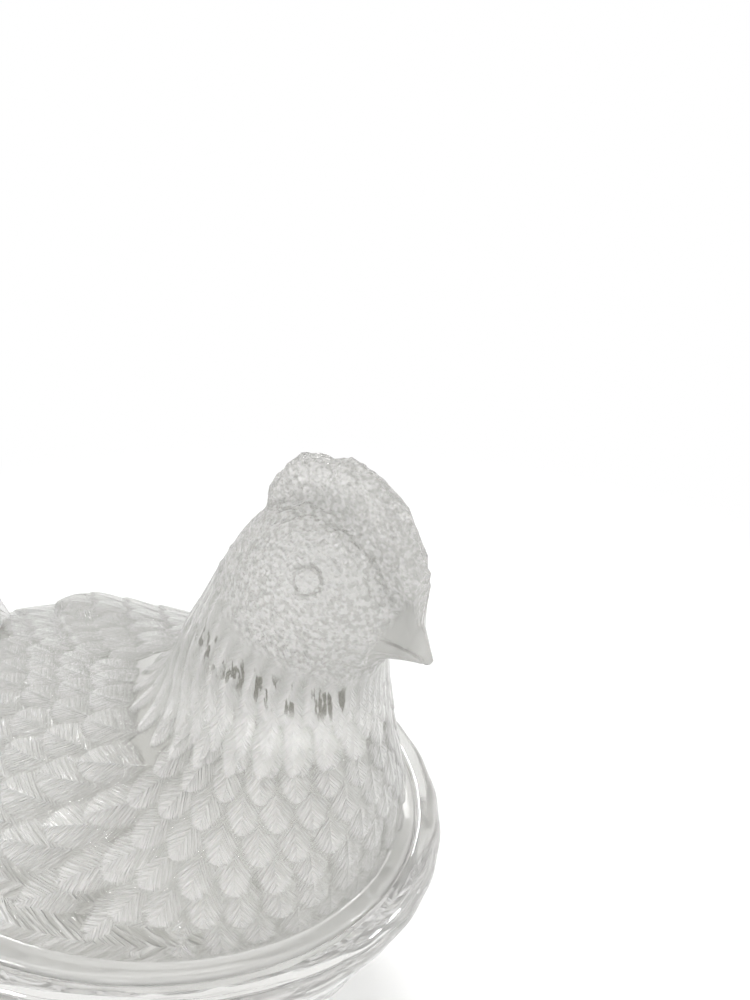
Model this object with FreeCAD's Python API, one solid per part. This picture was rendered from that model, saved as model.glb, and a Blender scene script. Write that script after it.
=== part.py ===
"""Covered candy dish of pressed glass: a hen that lifts off an oval nest.

Millimetres, +Z up. The hen faces +X. The origin is the middle of the foot's resting face.
"""
import FreeCAD, Part
import math
import os

V = FreeCAD.Vector

# Dish, outside
dish_long = 170.0
dish_wide = 127.0
dish_high = 52.0
rim_high = 9.0
rim_wide = 5.6
rim_lip = 1.0
foot_long = 108.0
foot_wide = 73.0
foot_high = 4.0
foot_recess = 1.6
foot_ring_wide = 7.0

# Dish, inside
dish_wall = 5.0
floor_thick = 5.9
ledge_wide = 5.4
lid_clearance = 0.4

# Lid
flange_thick = 4.0
flange_margin = 5.0
lid_wall = 5.0
breast_lean = 4.0
shoulder_high = 46.0
crown_high = 86.0
head_half_wide = 15.0

# Comb and bill
comb_rise = 8.6
comb_half_thick = 3.4
bill_long = 8.2
bill_tip_rise = 0.6
bill_tip_thick = 1.2
bill_arch = 0.9

# Tail and wings
tail_overhang = 9.0
tail_root_inset = 19.0
tail_high = 56.0
tail_half_wide = 16.0
tail_root_half_long = 20.0
wing_half_long = 49.0
wing_half_deep = 19.0
wing_half_thick = 9.0
wing_roll = 38.0

# Feathers: the rise of a ridge and of a feather's edge over the body, and the depth of its root
feather_long = 16.0
feather_wide = 10.0
fan_feather_long = 34.0
fan_feather_wide = 10.0
feather_rise = 1.2
feather_edge = 0.3
feather_sunk = 2.0
feather_tilt = 4.0

# Overrun of every cut, and the gap that a closed shell may have
overrun = 2.0
weld = 0.000001

# Sizes that follow from the ones above
rim_step = rim_wide - rim_lip
ledge_top = dish_high - flange_thick
dish_floor = foot_recess + floor_thick
seat_half_long = dish_long / 2 - rim_wide
seat_half_wide = dish_wide / 2 - rim_wide
flange_half_long = seat_half_long - lid_clearance
flange_half_wide = seat_half_wide - lid_clearance
body_back = flange_half_long - flange_margin
body_front = body_back + breast_lean
body_half_wide = flange_half_wide - flange_margin
neck_high = crown_high - shoulder_high
tail_root_at = body_back - tail_root_inset
tail_reach = flange_half_long + tail_overhang
# How finely a ring is drawn
ring_points = 24


def ring(rear, front, half_wide):
    """Closed smooth curve: an ellipse between two points of the middle plane."""
    centre = (rear + front) * 0.5
    reach = (front - rear) * 0.5
    points = []
    for step in range(ring_points):
        angle = 2.0 * math.pi * step / ring_points
        side = V(0, half_wide * math.sin(angle), 0)
        points.append(centre + reach * math.cos(angle) + side)
    knots = [step / ring_points for step in range(ring_points + 1)]
    curve = Part.BSplineCurve()
    curve.interpolate(Points=points, Parameters=knots, PeriodicFlag=True)
    return curve


def loft(rings):
    """Closed solid whose wall is one smooth surface through a row of rings."""
    columns = list(zip(*[curve.getPoles() for curve in rings]))
    spots = [step / (len(rings) - 1) for step in range(len(rings))]
    poles = []
    for column in columns:
        strand = Part.BSplineCurve()
        if len(rings) > 2:
            strand.interpolate(Points=list(column), Parameters=spots)
        else:
            strand.buildFromPoles(list(column), False, 1)
        poles.append(strand.getPoles())
    across = rings[0]
    wall = Part.BSplineSurface()
    wall.buildFromPolesMultsKnots(poles, across.getMultiplicities(), strand.getMultiplicities(),
                                  across.getKnots(), strand.getKnots(), True, False,
                                  across.Degree, strand.Degree)
    side = wall.toShape()
    ends = [edge for edge in side.Edges if edge.isClosed()]
    caps = [Part.Face(Part.Wire([edge])) for edge in ends]
    shell = Part.makeShell([side] + caps)
    shell.fix(weld, weld, weld)
    solid = Part.makeSolid(shell)
    if solid.Volume < 0:
        solid.reverse()
    return solid


def level_oval(half_long, half_wide, height, along=0):
    """Ring that lies level, centred on the long axis at a given place."""
    rear = V(along - half_long, 0, height)
    front = V(along + half_long, 0, height)
    return ring(rear, front, half_wide)


def oval_prism(half_long, half_wide, bottom, top):
    """Straight-sided oval block."""
    rings = [level_oval(half_long, half_wide, bottom), level_oval(half_long, half_wide, top)]
    return loft(rings)


def ball(centre, half_x, half_y, half_z, roll=0):
    """Ellipsoid, rolled about its long axis by an angle in degrees."""
    sphere = Part.makeSphere(1.0)
    stretch = FreeCAD.Matrix()
    stretch.scale(half_x, half_y, half_z)
    solid = sphere.transformGeometry(stretch)
    solid.rotate(V(0, 0, 0), V(1, 0, 0), roll)
    solid.translate(centre)
    return solid


# Dish

# Share of the wall's height, and of the way from the foot's outline to the rim's
wall_shares = ((0.0, 0.0), (0.24, 0.33), (0.5, 0.63), (0.75, 0.85), (1.0, 1.0))
# Share of the rim band's height, and of the rim's step
rim_shares = ((0.0, 0.0), (0.16, 0.66), (0.52, 1.0), (0.86, 0.7), (1.0, 0.32))


def bowl_form(low_long, low_wide, low, top_long, top_wide, top):
    """Flared oval form between two level ovals, for the bowl's outside and its hollow."""
    rings = []
    for high, spread in wall_shares:
        half_long = low_long + (top_long - low_long) * spread
        half_wide = low_wide + (top_wide - low_wide) * spread
        rings.append(level_oval(half_long, half_wide, low + (top - low) * high))
    return loft(rings)


def bowl_outside():
    """Bowl from the foot up to the rim band."""
    return bowl_form(foot_long / 2, foot_wide / 2, foot_high,
                     dish_long / 2 - rim_step, dish_wide / 2 - rim_step, dish_high - rim_high)


def rim_band():
    """Thick rounded band round the mouth."""
    base_long = dish_long / 2 - rim_step
    base_wide = dish_wide / 2 - rim_step
    rings = []
    for high, out in rim_shares:
        grow = rim_step * out
        height = dish_high - rim_high * (1.0 - high)
        rings.append(level_oval(base_long + grow, base_wide + grow, height))
    return loft(rings)


def foot_block():
    """Straight oval foot under the bowl."""
    return oval_prism(foot_long / 2, foot_wide / 2, 0, foot_high + overrun)


def bowl_hollow():
    """Room for the sweets, from the floor up to the ledge."""
    mouth_long = seat_half_long - ledge_wide
    mouth_wide = seat_half_wide - ledge_wide
    room = bowl_form(foot_long / 2 - dish_wall, foot_wide / 2 - dish_wall, dish_floor,
                     mouth_long, mouth_wide, ledge_top)
    mouth = oval_prism(mouth_long, mouth_wide, ledge_top - overrun / 2, dish_high + overrun)
    return room.fuse(mouth)


def lid_seat():
    """Shallow oval step inside the rim that takes the lid's flange."""
    return oval_prism(seat_half_long, seat_half_wide, ledge_top, dish_high + overrun)


def foot_hollow():
    """Recess that leaves a ring to stand on."""
    half_long = foot_long / 2 - foot_ring_wide
    half_wide = foot_wide / 2 - foot_ring_wide
    return oval_prism(half_long, half_wide, -overrun, foot_recess)


def nest_dish():
    """Oval dish with its foot, rounded rim, ledge and hollow."""
    solid = bowl_outside().fuse([rim_band(), foot_block()])
    solid = solid.cut(bowl_hollow())
    solid = solid.cut(lid_seat())
    return solid.cut(foot_hollow())


# Lid

# Rings of the body: rear reach, rear height, front reach, front height, half width.
# Shares of body_back, shoulder_high, body_front, shoulder_high and body_half_wide.
body_shares = (
    (1.0, -0.04, 0.96, -0.04, 1.0),
    (0.99, 0.07, 0.972, 0.065, 0.995),
    (0.96, 0.15, 0.985, 0.17, 0.945),
    (0.89, 0.25, 0.995, 0.28, 0.87),
    (0.77, 0.345, 1.0, 0.39, 0.78),
    (0.59, 0.42, 1.0, 0.5, 0.685),
    (0.37, 0.49, 0.995, 0.61, 0.6),
    (0.13, 0.565, 0.987, 0.715, 0.53),
    (-0.1, 0.655, 0.98, 0.815, 0.47),
    (-0.275, 0.785, 0.975, 0.9, 0.42),
    (-0.385, 0.945, 0.971, 0.99, 0.38),
)
# Rings of the neck and head. Reaches are shares of body_front, heights are shares of
# neck_high above the shoulder, half widths are shares of head_half_wide.
head_shares = (
    (0.43, 0.175, 0.972, 0.09, 1.22),
    (0.494, 0.375, 0.977, 0.165, 1.13),
    (0.552, 0.565, 0.987, 0.225, 1.07),
    (0.615, 0.75, 0.997, 0.265, 1.02),
    (0.692, 0.905, 1.004, 0.283, 0.97),
    (0.79, 1.0, 1.009, 0.293, 0.9),
    (0.89, 0.98, 1.013, 0.3, 0.81),
    (0.98, 0.862, 1.018, 0.305, 0.68),
    (1.042, 0.682, 1.025, 0.31, 0.5),
)
# How much thicker the glass is over the top of the hollow
hollow_top_share = 1.6
# Rings of the bill: share of its length, of its arch and of its narrowing
bill_shares = ((0.36, 1.0, 0.42), (0.7, 0.8, 0.74), (1.0, 0.0, 1.0))


def body_ring(row, wall=0):
    """Ring of the body, drawn in and lowered by a wall thickness."""
    rear = V(-body_back * row[0], 0, dish_high + shoulder_high * row[1] - wall)
    front = V(body_front * row[2], 0, dish_high + shoulder_high * row[3] - wall)
    inward = (front - rear).normalize() * wall
    return ring(rear + inward, front - inward, body_half_wide * row[4] - wall)


def head_ends(row):
    """Upper and lower point of a ring of the neck or the head."""
    base = dish_high + shoulder_high
    rear = V(body_front * row[0], 0, base + neck_high * row[1])
    front = V(body_front * row[2], 0, base + neck_high * row[3])
    return rear, front


def head_ring(row):
    """Ring of the neck or the head."""
    rear, front = head_ends(row)
    return ring(rear, front, head_half_wide * row[4])


def bill_rings(root_row):
    """Rings of the short pointed bill, from the face to its blunt tip."""
    root = head_ends(root_row)
    tip = root[1] + V(bill_long, 0, bill_tip_rise)
    tip_ends = (tip + V(0, 0, bill_tip_thick / 2), tip - V(bill_tip_thick, 0, bill_tip_thick / 2))
    root_half_wide = head_half_wide * root_row[4]
    rings = []
    for along, arch, fat in bill_shares:
        top = root[0] + (tip_ends[0] - root[0]) * along + V(0, 0, bill_arch * arch)
        low = root[1] + (tip_ends[1] - root[1]) * along
        half_wide = root_half_wide + (bill_tip_thick / 2 - root_half_wide) * fat
        rings.append(ring(top, low, half_wide))
    return rings


def body_and_head():
    """Body and breast, and from the neck up the head and bill, as two forms that share a ring."""
    body = [body_ring(row) for row in body_shares]
    head = [head_ring(row) for row in head_shares]
    low = loft(body + head[:2])
    return low.fuse(loft(head[1:] + bill_rings(head_shares[-1])))


def lid_flange():
    """Level oval margin that rests on the dish's ledge."""
    return oval_prism(flange_half_long, flange_half_wide, ledge_top, dish_high)


def lid_hollow():
    """Smooth hollow under the hen, a wall thickness inside the body."""
    rings = [body_ring(row, lid_wall) for row in body_shares[:-1]]
    rings.append(body_ring(body_shares[-1], lid_wall * hollow_top_share))
    return loft(rings)


# Comb rings from nape to bill: angle of the ring, share of the comb's reach, share of its thickness
comb_shares = (
    (134.0, 0.81, 0.5), (128.0, 0.9, 0.85), (122.0, 0.935, 0.9), (117.5, 0.93, 0.85),
    (112.0, 0.985, 1.0), (104.0, 1.0, 1.0), (98.0, 0.968, 0.9), (95.0, 0.955, 0.85),
    (91.0, 0.975, 0.9), (85.0, 0.97, 0.95), (78.0, 0.93, 1.0), (69.0, 0.883, 1.0),
    (60.0, 0.82, 0.95), (50.0, 0.735, 0.9), (38.0, 0.66, 0.8), (25.0, 0.575, 0.6), (14.0, 0.49, 0.4),
)
comb_root_share = 0.5
comb_pivot_share = (0.9, 0.46)


def comb():
    """Single comb: a blade over the crown with two round lobes behind and a long front edge."""
    pivot = V(body_front * comb_pivot_share[0], 0,
              dish_high + shoulder_high + neck_high * comb_pivot_share[1])
    reach = dish_high + crown_high + comb_rise - pivot.z
    rings = []
    for turn, rise, thick in comb_shares:
        angle = math.radians(turn)
        way = V(math.cos(angle), 0, math.sin(angle)) * reach * rise
        rings.append(ring(pivot + way * comb_root_share, pivot + way, comb_half_thick * thick))
    return loft(rings)


# Tail rings: share of its height, share of its lean, share of its length, share of its width
tail_shares = (
    (-0.02, 0.0, 0.92, 0.86),
    (0.13, 0.1, 0.98, 0.9),
    (0.32, 0.3, 0.94, 0.78),
    (0.56, 0.58, 0.9, 0.6),
    (0.8, 0.86, 0.84, 0.44),
    (0.93, 0.97, 0.7, 0.31),
    (1.0, 1.0, 0.42, 0.15),
)


def tail():
    """Upright fan tail that leans back and thins towards its upper edge."""
    widest = tail_shares[4]
    lean = (tail_reach - tail_root_at - tail_root_half_long * widest[2]) / widest[1]
    rings = []
    for high, back, length, width in tail_shares:
        rings.append(level_oval(tail_root_half_long * length, tail_half_wide * width,
                                dish_high + tail_high * high, -tail_root_at - lean * back))
    return loft(rings)


wing_centre_share = (-0.06, 0.58, 0.25)


def wing(side):
    """Low swelling along one flank."""
    along, out, high = wing_centre_share
    centre = V(body_front * along, side * body_half_wide * out, dish_high + shoulder_high * high)
    return ball(centre, wing_half_long, wing_half_deep, wing_half_thick, -side * wing_roll)


# Outline of a feather from its root round one side to its tip, and the ends of its ridge:
# shares of half its length and of half its width
leaf_shares = ((-1.0, 0.0), (-0.35, 1.0), (0.5, 1.0), (1.0, 0.0))
ridge_shares = (-0.6, 0.7)
# Rows of feathers on one flank: turn up from level about the long axis in degrees, place of the
# first and the last as shares of body_front, number of feathers
wing_rows = ((66.0, 0.16, -0.48, 5), (48.0, 0.32, -0.64, 7), (31.0, 0.48, -0.64, 8), (14.0, 0.48, -0.8, 9))
# Rows of feathers round the breast and the neck: share of shoulder_high, share of body_front
# that the row turns about, turn of the last one from straight ahead in degrees, number of
# feathers, share of a wing feather's size
round_rows = ((0.15, 0.4, 60.0, 8, 0.7), (0.4, 0.4, 60.0, 8, 0.7), (0.65, 0.45, 60.0, 8, 0.7),
              (0.9, 0.67, 165.0, 12, 0.8))
# Fan feathers on one side of the tail: turn up from straight ahead in degrees, share of
# tail_high from the fan's root to the middle of the feather
fan_feathers = ((102.0, 0.6), (113.0, 0.62), (124.0, 0.56), (134.0, 0.42))


def leaf(long, wide):
    """Ridged leaf with a skirt that goes down into the body. It lies level, its tip along +X."""
    drop = V(0, 0, -feather_edge - feather_sunk)
    ridge = [V(long / 2 * share, 0, feather_rise) for share in ridge_shares]
    outlines = []
    panels = []
    for side in (1, -1):
        root, near, far, tip = [V(long / 2 * along, side * wide / 2 * out, feather_edge)
                                for along, out in leaf_shares]
        panels += [(root, near, ridge[0]), (near, far, ridge[1], ridge[0]), (far, tip, ridge[1])]
        panels += [(here, after, after + drop, here + drop)
                   for here, after in ((root, near), (near, far), (far, tip))]
        outlines.append([root, near, far, tip])
    panels.append([corner + drop for corner in outlines[0] + outlines[1][2:0:-1]])
    faces = [Part.Face(Part.makePolygon(list(panel) + [panel[0]])) for panel in panels]
    shell = Part.makeShell(faces)
    shell.fix(weld, weld, weld)
    solid = Part.makeSolid(shell)
    if solid.Volume < 0:
        solid.reverse()
    return solid


def spread(first, last, count):
    """Equal steps from the first value to the last."""
    return [first + (last - first) * step / (count - 1) for step in range(count)]


def skin_spot(shell, inside, way):
    """Point where a line from inside leaves a shell, and the outward way there."""
    line = Part.makeLine(inside, inside + way * dish_long)
    points, places = shell.distToShape(line)[1:]
    spot = points[0][0]
    if places[0][0] == "Face":
        face = shell.Faces[places[0][1]]
    else:
        face = min(shell.Faces, key=lambda one: one.distToShape(Part.Vertex(spot))[0])
    return spot, face.normalAt(*face.Surface.parameter(spot))


def feather(form, shell, inside, out_way, tip_way):
    """Leaf laid on the surface, its tip lifted a little."""
    spot, out = skin_spot(shell, inside, out_way)
    side = out.cross(tip_way).normalize()
    level = side.cross(out)
    tilt = math.radians(feather_tilt)
    along = level * math.cos(tilt) + out * math.sin(tilt)
    up = out * math.cos(tilt) - level * math.sin(tilt)
    solid = form.copy()
    solid.Placement = FreeCAD.Placement(FreeCAD.Matrix(along.x, side.x, up.x, spot.x,
                                                       along.y, side.y, up.y, spot.y,
                                                       along.z, side.z, up.z, spot.z))
    return solid


def wing_feathers(shell, side):
    """Feathers that point back along one flank."""
    form = leaf(feather_long, feather_wide)
    laid = []
    for turn, first, last, count in wing_rows:
        out_way = V(0, side * math.cos(math.radians(turn)), math.sin(math.radians(turn)))
        for share in spread(first, last, count):
            inside = V(body_front * share, 0, dish_high)
            laid.append(feather(form, shell, inside, out_way, V(-1, 0, 0)))
    return laid


def round_feathers(shell):
    """Feathers that point down, round the breast and the foot of the neck."""
    laid = []
    for high, middle, last, count, size in round_rows:
        form = leaf(feather_long * size, feather_wide * size)
        inside = V(body_front * middle, 0, dish_high + shoulder_high * high)
        for turn in spread(-last, last, count):
            out_way = V(math.cos(math.radians(turn)), math.sin(math.radians(turn)), 0)
            laid.append(feather(form, shell, inside, out_way, V(0, 0, -1)))
    return laid


def tail_feathers(shell, side):
    """Long feathers fanned up one side of the tail."""
    form = leaf(fan_feather_long, fan_feather_wide)
    laid = []
    for turn, reach in fan_feathers:
        tip_way = V(math.cos(math.radians(turn)), 0, math.sin(math.radians(turn)))
        inside = V(-tail_root_at, 0, dish_high) + tip_way * tail_high * reach
        laid.append(feather(form, shell, inside, V(0, side, 0), tip_way))
    return laid


def hen_lid():
    """Lid: flange, feathered hen and the hollow under it."""
    solid = body_and_head()
    solid = solid.fuse([lid_flange(), tail(), comb(), wing(1), wing(-1)])
    skin = solid.Shells[0]
    laid = round_feathers(skin)
    for side in (1, -1):
        laid += wing_feathers(skin, side) + tail_feathers(skin, side)
    solid = solid.fuse(laid)
    return solid.cut(lid_hollow())


def write(name, shape):
    """Check one node and write its STEP file."""
    solids = shape.Solids
    if len(solids) != 1 or not shape.isValid():
        raise ValueError("%s: %d solids, valid %s" % (name, len(solids), shape.isValid()))
    solids[0].exportStep("parts/%s.step" % name)
    box = shape.optimalBoundingBox()
    print("%s volume %.0f box x %.2f %.2f y %.2f %.2f z %.2f %.2f" % (
        name, shape.Volume, box.XMin, box.XMax, box.YMin, box.YMax, box.ZMin, box.ZMax))


os.makedirs("parts", exist_ok=True)
write("nest_dish", nest_dish())
write("hen_lid", hen_lid())
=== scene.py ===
"""Covered candy dish of clear pressed glass: a hen that lifts off an oval nest.

Metres, +Z up, the hen faces +X. Both pieces are closed grids of points worked out with numpy,
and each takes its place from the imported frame.
"""
import math

import bpy
import numpy as np
from mathutils import Matrix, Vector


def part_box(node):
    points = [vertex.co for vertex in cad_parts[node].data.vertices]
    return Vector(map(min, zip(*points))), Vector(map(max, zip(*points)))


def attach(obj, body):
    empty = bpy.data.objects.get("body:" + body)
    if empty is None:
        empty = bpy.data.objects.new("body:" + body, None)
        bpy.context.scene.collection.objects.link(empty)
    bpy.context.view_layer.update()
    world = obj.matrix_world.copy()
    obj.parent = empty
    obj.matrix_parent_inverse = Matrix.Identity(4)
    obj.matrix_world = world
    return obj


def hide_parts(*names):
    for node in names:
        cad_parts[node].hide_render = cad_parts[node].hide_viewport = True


bl_info = {
    "name": "Hen Candy Dish",
    "version": (1, 0, 0),
    "blender": (4, 5, 0),
    "location": "View3D > Sidebar > Candy Dish",
    "description": "Makes a pressed glass hen on its oval nest dish, with its stage",
    "category": "Add Mesh",
}

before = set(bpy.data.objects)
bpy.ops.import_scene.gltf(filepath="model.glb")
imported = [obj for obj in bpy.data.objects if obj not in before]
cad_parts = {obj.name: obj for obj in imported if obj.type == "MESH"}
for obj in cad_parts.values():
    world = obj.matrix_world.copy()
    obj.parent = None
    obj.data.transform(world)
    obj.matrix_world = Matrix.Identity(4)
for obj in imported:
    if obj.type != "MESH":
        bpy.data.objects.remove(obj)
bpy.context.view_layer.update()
DISH_LONG, DISH_WIDE, RIM_PLANE = (float(value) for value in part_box("nest_dish")[1])
LID_REAR = float(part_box("hen_lid")[0][0])
MM = 0.001
# One barb pitch in the feather map, small enough to keep the whole map in its square
UV_PER_PITCH = 0.05


# Curves and grids

def smooth_rows(rows, places):
    """Natural cubic spline through equally spaced rows, read at places counted in rows."""
    rows = np.asarray(rows, float)
    places = np.asarray(places, float)
    inner = len(rows) - 2
    bend = np.zeros_like(rows)
    pull = 4 * np.eye(inner) + np.eye(inner, k=1) + np.eye(inner, k=-1)
    bend[1:-1] = np.linalg.solve(pull, 6 * (rows[2:] - 2 * rows[1:-1] + rows[:-2]))
    start = np.clip(places.astype(int), 0, len(rows) - 2)
    after = (places - start)[:, None]
    before = 1 - after
    bow = ((before ** 3 - before) * bend[start] + (after ** 3 - after) * bend[start + 1]) / 6
    return before * rows[start] + after * rows[start + 1] + bow


def ramp(value, low, high):
    """Smooth step: 0 below low, 1 above high, a cubic between them."""
    share = np.clip((value - low) / (high - low), 0, 1)
    return share * share * (3 - 2 * share)


def unit(vectors):
    """Vectors of length one."""
    return vectors / np.maximum(np.linalg.norm(vectors, axis=-1, keepdims=True), 1e-12)


def grid_normals(grid, row, outward):
    """Normals of a grid whose columns close on themselves. The first point of one row looks
    roughly outward, which tells the outside from the inside."""
    around = np.roll(grid, -1, axis=1) - np.roll(grid, 1, axis=1)
    normals = unit(np.cross(around, np.gradient(grid, axis=0)))
    return normals if normals[row, 0] @ outward > 0 else -normals


def run_of(steps):
    """Distance run at each point, from nought at the first, given the steps between them."""
    return np.concatenate([[0], np.cumsum(steps)])


def run_along(line):
    """Distance run at each point of a line."""
    return run_of(np.linalg.norm(np.diff(line, axis=0), axis=-1))


def even_places(track, low, high, count):
    """Places between low and high at which the track of points moves on by equal steps."""
    fine = np.linspace(low, high, 1500)
    steps = np.linalg.norm(np.diff(track(fine), axis=0), axis=-1).mean(axis=-1)
    run = run_of(steps)
    return np.interp(np.linspace(0, run[-1], count), run, fine)


def oval(half_long, half_wide, columns):
    """Unit directions of an ellipse, spaced evenly along its edge: x and y shares per column."""
    turn = np.linspace(0, 2 * math.pi, 4001)
    edge = np.hypot(np.diff(half_long * np.cos(turn)), np.diff(half_wide * np.sin(turn)))
    run = run_of(edge)
    angle = np.interp(np.arange(columns) * run[-1] / columns, run, turn)
    return np.cos(angle), np.sin(angle)


def level_grid(profile, shares):
    """Grid of level ovals: half length times x share, half width times y share, height."""
    half_long, half_wide, height = profile[:, 0, None], profile[:, 1, None], profile[:, 2, None]
    return np.stack([half_long * shares[0], half_wide * shares[1], np.repeat(height, len(shares[0]), 1)], -1)


def turned_edge(start, end, bulge, count):
    """Quarter-round corner from start to end, bowed towards the corner point bulge."""
    share = np.linspace(0, 1, count)[:, None]
    start, end, bulge = (np.array(p) for p in (start, end, bulge))
    return (1 - share) ** 2 * start + 2 * share * (1 - share) * bulge + share ** 2 * end


def new_object(name, data):
    """Object of some data, put into the scene."""
    made = bpy.data.objects.new(name, data)
    bpy.context.collection.objects.link(made)
    return made


class Shell:
    """Closed mesh gathered row by row, from one pole to the other."""

    def __init__(self):
        self.points, self.quads, self.tris = [], [], []
        self.count, self.last = 0, None

    def add(self, grid):
        """Rows of points, or one point as a pole. The first row joins the last row before it, which
        has as many points, half or twice as many, or one."""
        grid = np.array(grid, float, ndmin=3)
        rows, columns = grid.shape[:2]
        index = self.count + np.arange(rows * columns).reshape(rows, columns)
        self.points.append(grid.reshape(-1, 3))
        self.count += rows * columns
        if self.last is not None:
            self.join(self.last, index[0])
        here, there = index[:-1], index[1:]
        faces = np.stack([here, there, np.roll(there, -1, 1), np.roll(here, -1, 1)], -1)
        self.quads.append(faces.reshape(-1, 4))
        self.last = index[-1]

    def join(self, low, high):
        """Band between two rows: quads, or a triangle and a quad for each pair where one is finer."""
        beside, after = np.roll(low, -1), np.roll(high, -1)
        if len(low) == 1:
            self.tris.append(np.stack([np.repeat(low, len(high)), high, after], -1))
        elif len(high) == 1:
            self.tris.append(np.stack([low, np.repeat(high, len(low)), beside], -1))
        elif len(low) == len(high):
            self.quads.append(np.stack([low, high, after, beside], -1))
        elif len(low) == 2 * len(high):
            even, odd = low[::2], low[1::2]
            self.tris.append(np.stack([even, high, odd], -1))
            self.quads.append(np.stack([odd, high, after, np.roll(even, -1)], -1))
        else:
            even, odd = high[::2], high[1::2]
            self.tris.append(np.stack([low, even, odd], -1))
            self.quads.append(np.stack([low, odd, np.roll(even, -1), beside], -1))

    def build(self, name):
        """Blender object of the shell, smooth, at the origin."""
        faces = np.concatenate(self.quads).tolist() + np.concatenate(self.tris).tolist()
        mesh = bpy.data.meshes.new(name)
        mesh.from_pydata(np.concatenate(self.points).tolist(), [], faces)
        mesh.validate()
        mesh.polygons.foreach_set("use_smooth", np.ones(len(mesh.polygons), bool))
        mesh.update()
        return new_object(name, mesh)


# Dish

DISH_COLUMNS = 440
# Share of the wall's height, and of the way from the foot's outline to the rim's
WALL_SHARES = ((0.0, 0.0), (0.24, 0.33), (0.5, 0.63), (0.75, 0.85), (1.0, 1.0))
# Outside of the rim: share of its height, share of its step out from the wall
RIM_SHARES = ((1.0, 0.3), (0.93, 0.62), (0.78, 0.88), (0.56, 1.0), (0.34, 0.94), (0.16, 0.66), (0.03, 0.16),
              (-0.12, -0.16))
# Rows of the level faces inside and under the dish, as shares of their outline
FLAT_SHARES = (0.04, 0.2, 0.4, 0.6, 0.8)
STAKES, RODS = 34, 7
FLUTES, FLUTE_DEPTH = 34, 0.22 * MM


def wall_profile(low, high, count):
    """Half length, half width and height along the flared wall between two level ovals."""
    shares = smooth_rows(WALL_SHARES, np.linspace(0, len(WALL_SHARES) - 1, count))
    low, high = np.array(low), np.array(high)
    out = low[None, :2] + (high - low)[None, :2] * shares[:, 1:]
    return np.column_stack([out, low[2] + (high[2] - low[2]) * shares[:, 0]])


def basket_relief(angle, height):
    """Low woven pattern: stakes round the wall, and rods that pass over and under them row by
    row, faded out towards the foot and the smooth band under the rim."""
    turn = angle / (2 * math.pi) * STAKES
    row = height * RODS
    over = np.cos(math.pi * turn) * np.where(np.floor(row) % 2 == 0, 1, -1)
    weave = np.abs(np.sin(math.pi * row)) ** 0.6 * (0.55 + 0.45 * over)
    stake = np.clip(1 - np.abs((turn % 1) - 0.5) / 0.16, 0, 1) ** 0.5
    return np.maximum(weave, 0.75 * stake) * ramp(row, 0.0, 0.5) * (1 - ramp(row, RODS - 0.5, RODS))


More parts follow.
